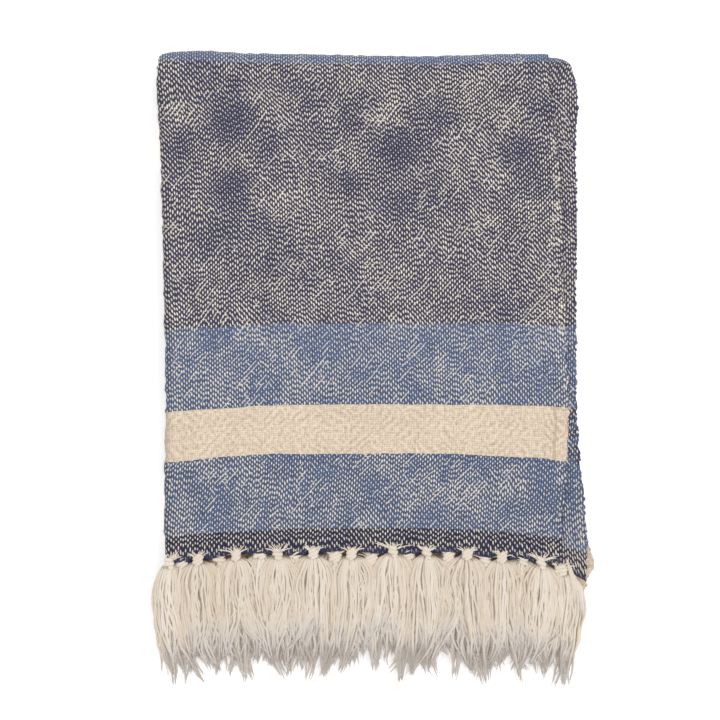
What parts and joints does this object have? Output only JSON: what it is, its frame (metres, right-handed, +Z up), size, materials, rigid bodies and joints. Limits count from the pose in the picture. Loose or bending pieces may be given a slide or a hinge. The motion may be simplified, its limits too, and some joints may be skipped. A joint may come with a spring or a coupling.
{
  "type": "folded cotton throw",
  "caption": "Woven cotton throw with broad stripes and knotted fringed ends, folded into a flat stack that lies on a shelf, bed or bench.",
  "frame": {"origin": "on the floor, under the middle of the whole folded throw", "axes": "+Y along the warp, from the fringed ends to the top fold; +Z up from the floor; +X across the stack, from the folds to the selvedges"},
  "size_m": [0.3548, 0.5134, 0.0385],
  "materials": {
    "woven_cotton": "matt twill of cream warp and navy, blue and cream weft",
    "fringe_cotton": "matt undyed cotton yarn, loosely plied"
  },
  "bodies": {
    "root": {"throw_cloth": "woven_cotton", "front_fringe": "fringe_cotton", "back_fringe": "fringe_cotton"}
  },
  "joints": []
}
